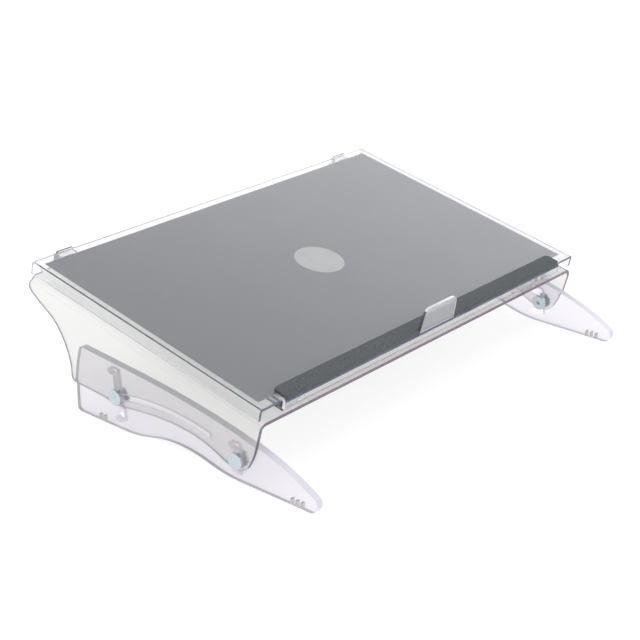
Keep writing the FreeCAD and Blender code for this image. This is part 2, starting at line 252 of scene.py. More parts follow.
grainedFinish = {
    "panelGrey": {
        "shader": {"IOR": 1.45, "Specular IOR Level": 0.35},
        "grain": {
            "Colour": (0.155, 0.165, 0.173, 1), "Second Colour": (0.165, 0.176, 0.184, 1),
            "Grain Size": 2200.0, "Cloud Size": 12.0, "Low Roughness": 0.5, "High Roughness": 0.62,
        },
        "bump": 0.12,
    },
    "stripRubber": {
        "shader": {"Specular IOR Level": 0.4},
        "grain": {
            "Colour": (0.03, 0.036, 0.039, 1), "Second Colour": (0.11, 0.118, 0.123, 1),
            "Grain Size": 850.0, "Cloud Size": 750.0, "Low Roughness": 0.62, "High Roughness": 0.8,
        },
        "bump": 0.35,
    },
    "gripRubber": {
        "shader": {"Specular IOR Level": 0.3},
        "grain": {
            "Colour": (0.46, 0.46, 0.41, 1), "Second Colour": (0.54, 0.54, 0.48, 1),
            "Grain Size": 1200.0, "Cloud Size": 200.0, "Low Roughness": 0.7, "High Roughness": 0.85,
        },
        "bump": 0.3,
    },
    "boltSteel": {
        "shader": {"Metallic": 1.0},
        "grain": {
            "Colour": (0.49, 0.56, 0.6, 1), "Second Colour": (0.58, 0.65, 0.69, 1),
            "Grain Size": 1400.0, "Cloud Size": 150.0, "Low Roughness": 0.24, "High Roughness": 0.38,
        },
        "bump": 0.15,
    },
    # partly the sheet's navy tint, partly painted shade: cut edges are painted dark navy from outside and
    # pale seen through the sheet
    "trayEdge": {
        "shader": {"Specular IOR Level": 0.5},
        "inside": (0.95, 0.95, 0.97, 1),
        "grain": {
            "Colour": (0.05, 0.05, 0.095, 1), "Second Colour": (0.14, 0.14, 0.21, 1),
            "Grain Size": 700.0, "Cloud Size": 25.0, "Low Roughness": 0.2, "High Roughness": 0.35,
        },
        "bump": 0.1,
    },
    # partly the bed's violet tint, partly painted shade: cut edges are painted dark violet from outside and
    # pale seen through the sheet
    "bedEdge": {
        "shader": {"Specular IOR Level": 0.5},
        "inside": (0.8, 0.78, 0.81, 1),
        "grain": {
            "Colour": (0.1, 0.07, 0.11, 1), "Second Colour": (0.2, 0.145, 0.205, 1),
            "Grain Size": 700.0, "Cloud Size": 25.0, "Low Roughness": 0.2, "High Roughness": 0.35,
        },
        "bump": 0.1,
    },
    "paintedGlowWall": {  # painted glow: a pale, half-clear emissive finish stands in for light carried along a clear sheet coming out here
        "shader": {
            "Specular IOR Level": 0.5, "Alpha": 0.5, "Emission Color": (0.97, 0.96, 1.0, 1),
            "Emission Strength": 0.3,
        },
        "grain": {
            "Colour": (0.86, 0.85, 0.88, 1), "Second Colour": (0.92, 0.91, 0.93, 1),
            "Grain Size": 700.0, "Cloud Size": 25.0, "Low Roughness": 0.2, "High Roughness": 0.35,
        },
        "bump": 0.1,
    },
    # partly the foot's lilac tint, partly painted glow: a faint emission lifts cut edges lying in shade
    # under the bed
    "footEdgeGlow": {
        "shader": {
            "Specular IOR Level": 0.5, "Emission Color": (0.95, 0.93, 1.0, 1),
            "Emission Strength": 0.14,
        },
        "grain": {
            "Colour": (0.5, 0.485, 0.55, 1), "Second Colour": (0.58, 0.565, 0.625, 1),
            "Grain Size": 700.0, "Cloud Size": 25.0, "Low Roughness": 0.25, "High Roughness": 0.4,
        },
        "bump": 0.1,
    },
    "badgeSilver": {
        "shader": {"Metallic": 0.85},
        "grain": {
            "Colour": (0.44, 0.45, 0.44, 1), "Second Colour": (0.6, 0.61, 0.59, 1),
            "Grain Size": 1600.0, "Cloud Size": 90.0, "Low Roughness": 0.38, "High Roughness": 0.5,
        },
        "bump": 0.15,
    },
}
grained = {name: makeGrained(name, finish) for name, finish in grainedFinish.items()}
print("materials made:", len(acrylic) + len(grained))


def smoothPath(knots, closed=True):
    # knots are (across, up, arriving, leaving), in millimetres and degrees
    # one angle serves for both where a knot has three values
    full = [(k[0], k[1], k[2], k[-1]) for k in knots]
    pairs = list(zip(full, full[1:] + full[:1])) if closed else list(zip(full, full[1:]))
    points = []
    for here, there in pairs:
        start, end = Vector((here[0], here[1], 0)), Vector((there[0], there[1], 0))
        leave, arrive = math.radians(here[3]), math.radians(there[2])
        chord = end - start
        turn = math.remainder(arrive - leave, math.tau)
        lean = math.remainder(math.atan2(chord.y, chord.x) - leave, math.tau)
        straight = abs(turn) < 0.002 and abs(lean) < 0.02
        reach = chord.length / (3 * math.cos(turn / 4) ** 2)
        count = 2 if straight else max(8, round(math.degrees(abs(turn)) / 6) + 2)
        first = start + Vector((math.cos(leave), math.sin(leave), 0)) * reach
        second = end - Vector((math.cos(arrive), math.sin(arrive), 0)) * reach
        points += [(p.x, p.y) for p in interpolate_bezier(start, first, second, end, count)[:-1]]
    if not closed:
        points.append((full[-1][0], full[-1][1]))
    return points


def fillOutline(bm, loops):
    for loop in loops:
        verts = [bm.verts.new((a, b, 0)) for a, b in loop]
        for here, there in zip(verts, verts[1:] + verts[:1]):
            bm.edges.new((here, there))
    bmesh.ops.triangle_fill(bm, edges=bm.edges[:], use_beauty=True, use_dissolve=False)


def scoreLines(bm, places, direction):
    # extra edges where a flat blank is going to bend
    for place in places:
        geometry = bm.verts[:] + bm.edges[:] + bm.faces[:]
        bmesh.ops.bisect_plane(
            bm, geom=geometry, plane_co=Vector(direction) * place, plane_no=direction, dist=0.0005,
        )


def newVerts(result):
    return [v for v in result["geom"] if isinstance(v, bmesh.types.BMVert)]


def thicken(bm, thickness):
    grown = bmesh.ops.extrude_face_region(bm, geom=bm.faces[:], use_keep_orig=True)
    bmesh.ops.translate(bm, verts=newVerts(grown), vec=(0, 0, -thickness))
    bmesh.ops.recalc_face_normals(bm, faces=bm.faces[:])


def breakEdges(bm, width, segments=1, skip=None):
    rims = [e for e in bm.edges if len(e.link_faces) == 2 and e.calc_face_angle(0) > math.radians(50)]
    if skip:
        rims = [e for e in rims if not skip(e)]
    bmesh.ops.bevel(
        bm, geom=rims, offset=width, offset_type="OFFSET", segments=segments, profile=0.5,
        affect="EDGES", material=-1, clamp_overlap=True,
    )


def markEdges(bm, cutIsEnd=False):
    # the cut edge of a sheet, or the sawn ends of a bar, take the second finish
    for face in bm.faces:
        flat = abs(face.normal.z) > 0.95
        face.material_index = 1 if flat == cutIsEnd else 0


def distanceTo(point, loop):
    nearest = math.inf
    for here, there in zip(loop, loop[1:] + loop[:1]):
        share = min(max(intersect_point_line(point, here, there)[1], 0), 1)
        nearest = min(nearest, (point - Vector(here).lerp(Vector(there), share)).length)
    return nearest


def markHoles(bm, holes, reach=0.4):
    # walls of slots and holes take the third finish, a painted glow that stands in for the light they catch
    for face in bm.faces:
        centre = face.calc_center_median().xy
        if face.material_index == 1 and any(distanceTo(centre, hole) < reach for hole in holes):
            face.material_index = 2


def mirrored(bm):
    # the left-hand twin of a right-hand piece
    twin = bm.copy()
    bmesh.ops.scale(twin, vec=(-1, 1, 1), verts=twin.verts[:])
    bmesh.ops.reverse_faces(twin, faces=twin.faces[:])
    return twin


def finishPiece(bm, name, place, materials, body, nodes):
    bmesh.ops.transform(bm, matrix=place, verts=bm.verts[:])
    mesh = bpy.data.meshes.new(name)
    bm.to_mesh(mesh)
    bm.free()
    mesh.shade_smooth()
    mesh.set_sharp_from_angle(angle=math.radians(32))
    for material in materials:
        mesh.materials.append(material)
    piece = bpy.data.objects.new(name, mesh)
    scene.collection.objects.link(piece)
    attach(piece, body)
    for node in nodes:
        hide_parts(node)
    return piece


def finishPair(bm, name, place, materials, bodies, nodes):
    twin = mirrored(bm)
    finishPiece(bm, name + "Right", place, materials, bodies[0], [nodes[0]])
    finishPiece(twin, name + "Left", place, materials, bodies[1], [nodes[1]])


def handed(node):
    return [node + "_right", node + "_left"]


def bendSheet(bm, start, radius, length):
    # wraps the part of a flat blank beyond start round a quarter turn, downwards
    for v in bm.verts:
        side = math.copysign(1, v.co.x)
        beyond = abs(v.co.x) - start
        if beyond <= 0:
            continue
        turn = min(beyond / radius, math.pi / 2)
        spare = max(beyond - length, 0)
        depth = radius + v.co.z
        v.co.x = side * (start + depth * math.sin(turn))
        v.co.z = depth * math.cos(turn) - radius - spare


def bendCuts(start, length, count, margin=0.4):
    # lines across a bend, with one more on each side to keep the flats flat
    cuts = [start + length * step / count for step in range(count + 1)]
    return [start - margin] + cuts + [start + length + margin]


traySettings = {
    "sheet": 3.0,
    "flange": 13.2,
    "bendRadius": 3.3,  # outside
    "lipHalf": 229.0,
    "lipReach": 3.0,
    "lipDrop": 10.3,
    "reliefWidth": 2.5,
    "reliefDepth": 4.0,
    "rollLine": 1.6,  # along the blank, from the flat to the painted dark line
    "edgeBreak": 0.14,
    "bendSteps": 7,
}


def buildTray(settings):
    radius = settings["bendRadius"]
    bendLength = radius * math.pi / 2
    start = stand["trayHalf"] - radius
    blankHalf = start + bendLength + settings["flange"] - radius
    lipStart = radius - settings["lipReach"]  # where the lip begins to turn down, up the slope
    lipEnd = lipStart - bendLength - (settings["lipDrop"] - radius)
    lip, relief = settings["lipHalf"], settings["lipHalf"] + settings["reliefWidth"]
    depth = stand["trayDepth"]
    outline = [
        (-blankHalf, 0), (-relief, 0), (-relief, settings["reliefDepth"]), (-lip, settings["reliefDepth"]),
        (-lip, lipEnd), (lip, lipEnd), (lip, settings["reliefDepth"]), (relief, settings["reliefDepth"]),
        (relief, 0), (blankHalf, 0), (blankHalf, depth), (-blankHalf, depth),
    ]
    bm = bmesh.new()
    fillOutline(bm, [outline])
    cuts = bendCuts(start, bendLength, settings["bendSteps"])
    scoreLines(bm, cuts + [-c for c in cuts], (1, 0, 0))
    scoreLines(bm, [-c for c in bendCuts(-lipStart, bendLength, settings["bendSteps"])], (0, 1, 0))
    thicken(bm, settings["sheet"])
    breakEdges(bm, settings["edgeBreak"])
    markEdges(bm)
    slack = 0.5  # enough to take in what lies on a line
    for face in bm.faces:  # painted shade: the outside of the lip's roll, under the strip's overhang, takes the dark cut-edge finish as a dark line; the relief notch walls take the painted glow
        centre = face.calc_center_median()
        onRoll = lipStart - bendLength < centre.y < lipStart - settings["rollLine"]
        if face.normal.z > 0.9 and abs(centre.x) < lip and onRoll:
            face.material_index = 1
        elif face.material_index == 1 and lip - slack < abs(centre.x) < relief + slack:
            face.material_index = 2
    for v in bm.verts:  # the lip first, while the blank is still flat
        beyond = lipStart - v.co.y
        if abs(v.co.x) < relief - slack and beyond > 0:
            turn = min(beyond / radius, math.pi / 2)
            spare = max(beyond - bendLength, 0)
            reach = radius + v.co.z
            v.co.y = lipStart - reach * math.sin(turn)
            v.co.z = reach * math.cos(turn) - radius - spare
    bendSheet(bm, start, radius, bendLength)
    return bm


finishPiece(
    buildTray(traySettings), "clearTray", slopePlace,
    [acrylic["trayAcrylic"], grained["trayEdge"], grained["paintedGlowWall"]], "tray", ["tray_sheet"],
)
print("tray sheet bent")

panelSettings = {
    "insetSide": 10.0, "insetFront": 11.5, "insetRear": 8.0, "sheet": 0.72, "windowRadius": 27.05,
    "edgeBreak": 0.1,
}
badgeSettings = {
    "radius": 27.0, "sheet": 0.72, "rimWidth": 1.6, "softness": 0.1, "topBreak": 0.15,
    "grooveRadius": 17.0, "grooveFloor": 0.2, "grooveTop": 0.3, "step": 0.12, "segments": 96,
}
stripSettings = {
    "half": 227.5, "depth": 18.0, "height": 3.3, "corner": 4.0, "stopGap": 0.15, "edgeBreak": 0.7,
}
stopSettings = {
    "halfBase": 28.5, "halfTop": 26.0, "height": 26.5, "sheet": 3.0, "corner": 8.0, "edgeBreak": 0.3,
}


def circleKnots(centre, radius):
    # four quarter turns, anticlockwise
    knots = []
    for turn in (0, math.pi / 2, math.pi, 3 * math.pi / 2):
        across = centre[0] + radius * math.cos(turn)
        up = centre[1] + radius * math.sin(turn)
        knots.append((across, up, math.degrees(turn) + 90))
    return knots


def buildPanel(settings):
    half = stand["trayHalf"] - settings["insetSide"]
    front, rear = settings["insetFront"], stand["trayDepth"] - settings["insetRear"]
    bm = bmesh.new()
    window = smoothPath(circleKnots((0, stand["trayDepth"] / 2), settings["windowRadius"]))
    fillOutline(bm, [[(-half, front), (half, front), (half, rear), (-half, rear)], window])
    thicken(bm, settings["sheet"])
    breakEdges(bm, settings["edgeBreak"])
    bmesh.ops.translate(bm, verts=bm.verts[:], vec=(0, 0, -traySettings["sheet"] - stand["contactGap"]))
    return bm


def buildBadge(settings):
    # a turned disc: raised rim, a shallow step and a plain middle
    low, step = -settings["sheet"], -settings["step"]
    radius, soft, top = settings["radius"], settings["softness"], settings["topBreak"]
    rim = radius - settings["rimWidth"]
    groove, floor, brim = settings["grooveRadius"], settings["grooveFloor"], settings["grooveTop"]
    profile = [
        (0, low), (radius - soft, low), (radius, low + soft), (radius, -top), (radius - top, 0),
        (rim, 0), (rim - soft, step), (groove + brim, step), (groove + floor, 2 * step),
        (groove - floor, 2 * step), (groove - brim, step), (0, step),
    ]
    bm = bmesh.new()
    turned = [bm.verts.new((r, 0, z)) for r, z in profile]
    edges = [bm.edges.new(pair) for pair in zip(turned, turned[1:])]
    bmesh.ops.spin(
        bm, geom=turned + edges, cent=(0, 0, 0), axis=(0, 0, 1), angle=math.tau,
        steps=settings["segments"], use_merge=True,
    )
    bmesh.ops.remove_doubles(bm, verts=bm.verts[:], dist=0.001)
    bmesh.ops.recalc_face_normals(bm, faces=bm.faces[:])
    bmesh.ops.translate(
        bm, verts=bm.verts[:],
        vec=(0, stand["trayDepth"] / 2, -traySettings["sheet"] - stand["contactGap"]),
    )
    return bm


def buildStrip(settings, stop):
    front = -traySettings["lipReach"]
    rear = front + settings["depth"]
    gap = stop["halfBase"] + settings["stopGap"]
    radius, half = settings["corner"], settings["half"]
    recess = front + stop["sheet"] + settings["stopGap"]
    knots = [
        (-half + radius, front, 0), (-gap, front, 0, 90), (-gap, recess, 90, 0),
        (gap, recess, 0, 270), (gap, front, 270, 0), (half - radius, front, 0),
        (half, front + radius, 90), (half, rear - radius, 90), (half - radius, rear, 180),
        (-half + radius, rear, 180), (-half, rear - radius, 270), (-half, front + radius, 270),
    ]
    bm = bmesh.new()
    fillOutline(bm, [smoothPath(knots)])
    thicken(bm, settings["height"] - stand["contactGap"])
    breakEdges(bm, settings["edgeBreak"], 3)
    bmesh.ops.translate(bm, verts=bm.verts[:], vec=(0, 0, settings["height"]))
    return bm


def buildStop(settings):
    base, top, height = settings["halfBase"], settings["halfTop"], settings["height"]
    lean = math.degrees(math.atan2(height, top - base))
    side = math.radians(lean)
    tangent = settings["corner"] * math.tan(math.radians(180 - lean) / 2)
    sideX, sideZ = top - tangent * math.cos(side), height - tangent * math.sin(side)
    low = stand["contactGap"]
    knots = [
        (-base, low, 360 - lean, 0), (base, low, 0, lean), (sideX, sideZ, lean),
        (top - tangent, height, 180), (-top + tangent, height, 180), (-sideX, sideZ, 360 - lean),
    ]
    bm = bmesh.new()
    fillOutline(bm, [smoothPath(knots)])
    thicken(bm, settings["sheet"])
    breakEdges(bm, settings["edgeBreak"])
    markEdges(bm)
    for face in bm.faces:  # painted shade: the two upright edges, seen end on, take the dark tray-edge finish; the other cut edges take the painted glow
        if abs(face.normal.x) > 0.8:
            face.material_index = 2
    front = -traySettings["lipReach"]
    bmesh.ops.transform(
        bm, matrix=Matrix.Translation((0, front, 0)) @ Matrix.Rotation(math.pi / 2, 4, "X"),
        verts=bm.verts[:],
    )
    return bm


finishPiece(
    buildPanel(panelSettings), "greyPanel", slopePlace, [grained["panelGrey"]], "tray",
    ["writing_panel"],
)
finishPiece(
    buildBadge(badgeSettings), "roundBadge", slopePlace, [grained["badgeSilver"]], "tray",
    ["centre_badge"],
)
finishPiece(
    buildStrip(stripSettings, stopSettings), "ledgeStrip", slopePlace, [grained["stripRubber"]], "tray",
    ["ledge_strip"],
)
finishPiece(
    buildStop(stopSettings), "pageStop", slopePlace,
    [acrylic["stopAcrylic"], grained["paintedGlowWall"], grained["trayEdge"]], "tray", ["page_stop"],
)
print("panel, badge, strip and page stop placed")

bedSettings = {
    "sheet": 4.0,
    "bendRadius": 9.0,  # outside
    "bendSteps": 10,
    "edgeBreak": 0.14,
    "frontReach": 2.5,  # plate ahead of the tray's edge
    "boltHole": 3.3,  # radius
    "slotHalf": 3.5,
    "slotMiddle": (127.5, 43.2),
    "slotFront": (66.0, 37.0),
    "slotMargin": 4.0,  # beyond the rear bolt
    "cheek": [
        (1.44, 65.39, -86.5), (6.2, 44.0, -77.4), (15.5, 21.5, -58.8), (28.0, 14.0, 0.0),
        (53.0, 21.6, 24.7), (127.0, 33.4, -1.9), (187.0, 27.4, -6.0, 2.0), (198.0, 29.0, 10.6),
        (247.0, 33.3, 5.0, 8.0), (252.3, 36.3, 56.3), (253.5, 42.0, 90.0), (259.0, 66.0, 66.3),
        (277.0, 92.5, 41.1), (301.0, 108.5, 37.1), (310.9, 121.5, 107.7), (307.66, 127.7, 106.0),
    ],
}


def circleThrough(first, second, third):
    # centre and radius of the circle through three points
    a, b = Vector(second) - Vector(first), Vector(third) - Vector(first)
    twice = 2 * (a.x * b.y - a.y * b.x)
    across = (b.y * a.length_squared - a.y * b.length_squared) / twice
    up = (a.x * b.length_squared - b.x * a.length_squared) / twice
    return Vector(first) + Vector((across, up)), math.hypot(across, up)


def slotPath(settings):
    # arc slot with round ends, anticlockwise seen from the right
    ends = (stand["rearBolt"], settings["slotFront"])
    centre, radius = circleThrough(ends[0], settings["slotMiddle"], ends[1])
    half = settings["slotHalf"]
    rear, front = [math.atan2(end[1] - centre[1], end[0] - centre[0]) for end in ends]
    rear -= settings["slotMargin"] / radius
    cap = half / radius

    def at(turn, distance, heading):
        across = centre[0] + math.cos(turn) * distance
        up = centre[1] + math.sin(turn) * distance
        return (across, up, math.degrees(turn) + heading)

    halfway = (rear + front) / 2
    outer, inner = radius + half, radius - half
    return [
        at(rear, outer, 90), at(halfway, outer, 90), at(front, outer, 90), at(front + cap, radius, 180),
        at(front, inner, 270), at(halfway, inner, 270), at(rear, inner, 270), at(rear - cap, radius, 0),
    ]


def buildBed(settings):
    radius = settings["bendRadius"]
    bendLength = radius * math.pi / 2
    start = stand["trayHalf"] - radius
    turn = Matrix.Rotation(-stand["slope"], 2)

    def unrolled(point):
        # from a side outline to the flat blank: distance across, distance up the slope
        up, above = turn @ Vector((point[0], point[1] - stand["frontHeight"]))
        drop = stand["bedTop"] - above
        if drop < radius:
            return (start + radius * math.acos(1 - drop / radius), up)
        return (start + bendLength + drop - radius, up)

    cheek = [unrolled(p) for p in smoothPath(settings["cheek"], closed=False)]
    holes = [
        smoothPath(slotPath(settings)), smoothPath(circleKnots(stand["frontBolt"], settings["boltHole"])),
    ]
    outline = [(0, -settings["frontReach"])] + cheek + [(0, stand["trayDepth"])]
    bm = bmesh.new()
    flatHoles = [[unrolled(p) for p in hole] for hole in holes]
    fillOutline(bm, [outline] + flatHoles)
    scoreLines(bm, bendCuts(start, bendLength, settings["bendSteps"]), (1, 0, 0))
    thicken(bm, settings["sheet"])
    breakEdges(bm, settings["edgeBreak"], skip=lambda e: all(abs(v.co.x) < 0.001 for v in e.verts))
    seam = [f for f in bm.faces if all(abs(v.co.x) < 0.001 for v in f.verts)]
    bmesh.ops.delete(bm, geom=seam, context="FACES")
    markEdges(bm)
    markHoles(bm, flatHoles)
    bendSheet(bm, start, radius, bendLength)
    bmesh.ops.mirror(bm, geom=bm.verts[:] + bm.edges[:] + bm.faces[:], merge_dist=0.01, axis="X")
    bmesh.ops.recalc_face_normals(bm, faces=bm.faces[:])
    bmesh.ops.translate(bm, verts=bm.verts[:], vec=(0, 0, stand["bedTop"]))
    return bm


finishPiece(
    buildBed(bedSettings), "clearBed", slopePlace,
    [acrylic["bedAcrylic"], grained["bedEdge"], grained["paintedGlowWall"]], "bed", ["bed_panel"],
)
print("bed bent")

railSettings = {
    "inner": 206.0, "outer": 226.0, "front": 0.5, "rear": 316.0, "top": -3.9, "behindTray": 0.3,
    "upstand": 3.0, "grooveLow": 3.6, "grooveHeight": 4.6, "grooveDepth": 4.4, "edgeBreak": 0.15,
}
runnerSettings = {
    "inner": 198.7, "outer": 205.7, "reach": 210.1, "front": 146.0, "rear": 300.0, "low": 3.9,
    "tongue": 4.0, "underTray": 3.85, "edgeBreak": 0.25,
}
travelSettings = {
    "inner": 199.0, "outer": 206.0, "front": 5.0, "rear": 15.0, "height": 8.0, "edgeBreak": 0.25,
}


def slopeBar(section, front, rear):
    # a bar up the slope from its section (across, above the tray's top)
    bm = bmesh.new()
    fillOutline(bm, [section])
    thicken(bm, rear - front)
    # the sawn ends take the second finish, which on these bars is the painted glow
    markEdges(bm, cutIsEnd=True)
    bmesh.ops.transform(
        bm, matrix=Matrix.Translation((0, front, 0)) @ Matrix.Rotation(math.pi / 2, 4, "X"),
        verts=bm.verts[:],
    )
    return bm


def trimBar(bm, edgeBreak):
    # joins the flat triangles, then takes the sharpness off the bar
    bmesh.ops.dissolve_limit(bm, angle_limit=math.radians(1), verts=bm.verts[:], edges=bm.edges[:])
    breakEdges(bm, edgeBreak)


def buildRail(settings):
    low, inner, outer = stand["bedTop"] + stand["contactGap"], settings["inner"], settings["outer"]
    grooveLow = stand["bedTop"] + settings["grooveLow"]
    grooveHigh = grooveLow + settings["grooveHeight"]
    deep = inner + settings["grooveDepth"]
    section = [
        (inner, low), (outer, low), (outer, settings["top"]), (inner, settings["top"]),
        (inner, grooveHigh), (deep, grooveHigh), (deep, grooveLow), (inner, grooveLow),
    ]
    behind = stand["trayDepth"] + settings["behindTray"]
    bm = slopeBar(section, settings["front"], settings["rear"])
    past = behind + settings["upstand"]
    scoreLines(bm, [behind, past], (0, 1, 0))
    topFaces = [
        f for f in bm.faces if f.normal.z > 0.9 and f.calc_center_median().z > settings["top"] - 0.1
    ]
    upstand = [f for f in topFaces if behind < f.calc_center_median().y < past]
    grown = bmesh.ops.extrude_face_region(bm, geom=upstand)
    bmesh.ops.translate(bm, verts=newVerts(grown), vec=(0, 0, -settings["top"]))
    trimBar(bm, settings["edgeBreak"])
    return bm


def buildRunner(settings):
    low = stand["bedTop"] + settings["low"]
    top = -settings["underTray"]
    inner, outer, reach = settings["inner"], settings["outer"], settings["reach"]
    section = [
        (inner, low), (reach, low), (reach, low + settings["tongue"]),
        (outer, low + settings["tongue"]), (outer, top), (inner, top),
    ]
    bm = slopeBar(section, settings["front"], settings["rear"])
    trimBar(bm, settings["edgeBreak"])
    return bm


def buildTravelStop(settings):
    low = stand["bedTop"] + stand["contactGap"]
    high = stand["bedTop"] + settings["height"]
    inner, outer = settings["inner"], settings["outer"]
    section = [(inner, low), (outer, low), (outer, high), (inner, high)]
    bm = slopeBar(section, settings["front"], settings["rear"])
    trimBar(bm, settings["edgeBreak"])
    return bm


finishPair(
    buildRail(railSettings), "guideRail", slopePlace, [acrylic["trayAcrylic"], grained["paintedGlowWall"]],
    ["bed", "bed"], handed("guide_rail"),
)
finishPair(
    buildRunner(runnerSettings), "trayRunner", slopePlace,
    [acrylic["trayAcrylic"], grained["paintedGlowWall"]], ["tray", "tray"], handed("tray_runner"),
)
finishPair(
    buildTravelStop(travelSettings), "travelStop", slopePlace,
    [acrylic["bedAcrylic"], grained["paintedGlowWall"]], ["bed", "bed"], handed("travel_stop"),
)
print("rails, runners and travel stops placed")

footSettings = {
    "sheet": 8.0,
    "outer": 255.7,
    "edgeBreak": 0.35,
    "channelHalf": 3.8,
    "channelLean": math.radians(6.5),
    "notchDepth": 7.0,
    "slots": ((stand["frontBolt"], 12.5), (stand["rearBolt"], 24.5)),  # middle notch, step between notches
    "outline": [
        (-55, 0, 0), (30, 0, 0), (69.5, 5.25, 15.1), (109, 10.5, 0), (146, 5.25, -16.2), (183, 0, 0),
        (246, 0, 0), (251, 5, 90), (251, 25, 92.1), (246.3, 58, 103.8), (243.2, 70.2, 103),
        (241.6, 72.7, 145.3), (238.5, 73.4, 185), (120, 63.2, 186.6), (50, 52.6, 190.6),
        (-16, 35.6, 199.8), (-59.25, 15.86, 210), (-63.5, 8.5, 270),
    ],
}
gripSettings = {
    "width": 1.9, "height": 6.0, "pitch": 6.0, "front": -45.0, "frontCount": 3, "rear": 213.0,
    "rearCount": 2, "inset": 0.1, "edgeBreak": 0.15,
}


def combSlot(axis, step, settings):
    # leaning channel with three notches to the rear
    half, lean, depth = settings["channelHalf"], settings["channelLean"], settings["notchDepth"]
    tilt = math.tan(lean)
    shoulder = half / math.cos(lean)
    heading = 90 - math.degrees(lean)
    low, mid, high = [(axis[0] + rise * tilt, axis[1] + rise) for rise in (-step, 0, step)]
    knots = [(low[0], low[1] - half, 0)]
    for place in (low, mid, high):
        tip = place[0] + depth
        if place is not low:
            corner = (place[0] + shoulder - half * tilt, place[1] - half)
            knots.append((corner[0], corner[1], heading, 0))
        knots += [(tip, place[1] - half, 0), (tip + half, place[1], 90), (tip, place[1] + half, 180)]
        if place is not high:
            knots.append((place[0] + shoulder + half * tilt, place[1] + half, 180, heading))
    edge = (math.cos(lean) * half, -math.sin(lean) * half)
    knots.append((high[0], high[1] + half, 180))
    knots += [(end[0] - edge[0], end[1] - edge[1], 180 + heading) for end in (high, low)]
    return knots


def gripPlaces(settings):
    front = [settings["front"] + settings["pitch"] * count for count in range(settings["frontCount"])]
    rear = [settings["rear"] + settings["pitch"] * count for count in range(settings["rearCount"])]
    return front, rear


def standUp(bm, outer):
    # from a side outline lying flat to a plate across the stand, its top face outermost
    turn = Matrix(((0, 0, 1, outer), (1, 0, 0, 0), (0, 1, 0, 0), (0, 0, 0, 1)))
    bmesh.ops.transform(bm, matrix=turn, verts=bm.verts[:])


def buildFoot(settings, grips):
    outline = smoothPath(settings["outline"])
    half = grips["width"] / 2 + stand["contactGap"]
    slits = []
    for y in sorted(sum(gripPlaces(grips), [])):  # slits along the underside
        cut = next(i for i, p in enumerate(outline) if p[0] > y and p[1] < 0.001 and i > 0)
        slit = [(y - half, 0), (y - half, grips["height"]), (y + half, grips["height"]), (y + half, 0)]
        outline[cut:cut] = slit
        slits.append(slit)
    holes = [smoothPath(combSlot(axis, step, settings)) for axis, step in settings["slots"]]
    bm = bmesh.new()
    fillOutline(bm, [outline] + holes)
    thicken(bm, settings["sheet"])
    breakEdges(bm, settings["edgeBreak"])
    markEdges(bm)
    markHoles(bm, holes + slits)
    standUp(bm, settings["outer"])
    return bm


def buildGrips(settings, places):
    bm = bmesh.new()
    size = (settings["width"], settings["height"], footSettings["sheet"] - 2 * settings["inset"])
    for y in places:
        made = bmesh.ops.create_cube(bm, size=1)
        bmesh.ops.scale(bm, verts=made["verts"], vec=size)
        bmesh.ops.translate(
            bm, verts=made["verts"], vec=(y, settings["height"] / 2, -footSettings["sheet"] / 2),
        )
    breakEdges(bm, settings["edgeBreak"])
    standUp(bm, footSettings["outer"])
    return bm


frontGrips, rearGrips = gripPlaces(gripSettings)
finishPair(
    buildFoot(footSettings, gripSettings), "clearFoot", sidePlace,
    [acrylic["footAcrylic"], grained["footEdgeGlow"], grained["paintedGlowWall"]], ["feet", "feet"],
    handed("foot"),
)
finishPair(
    buildGrips(gripSettings, frontGrips), "frontGrips", sidePlace, [grained["gripRubber"]],
    ["feet", "feet"], handed("front_grips"),
)
finishPair(
    buildGrips(gripSettings, rearGrips), "rearGrips", sidePlace, [grained["gripRubber"]],
    ["feet", "feet"], handed("rear_grips"),
)
print("feet and grips placed")

boltSettings = {
    "headRadius": 8.5,
    "headThickness": 3.0,
    "chamfer": 0.7,
    "sleeveRadius": 3.25,
    "sleeveLength": 11.0,
    "boreRadius": 2.05,
    "screwRadius": 2.0,
    "screwLength": 9.0,
    "threadPitch": 0.7,
    "threadDepth": 0.25,
    "socketFlats": 4.0,
    "socketDepth": 2.0,
    "dimple": (2.2, 2.6),  # inner and outer radius
    "dimpleDepth": 0.12,
    "softness": 0.1,
    "rimBreak": 0.25,
    "tipBreak": 0.3,
    "boreCone": 0.4,
    "socketRim": 0.8,
    "segments": 64,
}


def turnProfile(bm, profile, segments):
    # profile is (along the axis, radius), turned about X
    turned = [bm.verts.new((x, r, 0)) for x, r in profile]
    edges = [bm.edges.new(pair) for pair in zip(turned, turned[1:])]
    bmesh.ops.spin(
        bm, geom=turned + edges, cent=(0, 0, 0), axis=(1, 0, 0), angle=math.tau, steps=segments,
        use_merge=True,
    )
    bmesh.ops.remove_doubles(bm, verts=bm.verts[:], dist=0.001)


def placeOnAxis(bm, x, axis):
    bmesh.ops.recalc_face_normals(bm, faces=bm.faces[:])
    bmesh.ops.translate(bm, verts=bm.verts[:], vec=(x, axis[0], axis[1]))


def buildNut(settings, axis):
    thick, radius, chamfer = settings["headThickness"], settings["headRadius"], settings["chamfer"]
    sleeve, bore = settings["sleeveRadius"], settings["boreRadius"]
    seat = stand["contactGap"]
    end = -settings["sleeveLength"]
    dimple, soft, rim = settings["dimpleDepth"], settings["softness"], settings["rimBreak"]
    tip = settings["tipBreak"]
    inner, outer = settings["dimple"]
    profile = [
        (thick - dimple, 0), (thick - dimple, inner), (thick, outer), (thick, radius - chamfer - soft),
        (thick - soft, radius - chamfer + soft / 2), (thick - chamfer, radius),
        (seat + rim, radius), (seat, radius - rim), (seat, sleeve), (end + tip, sleeve),
        (end, sleeve - tip), (end, bore + tip), (end + tip, bore), (-settings["boreCone"], bore), (0, 0),
    ]
    bm = bmesh.new()
    turnProfile(bm, profile, settings["segments"])
    placeOnAxis(bm, stand["trayHalf"], axis)
    return bm


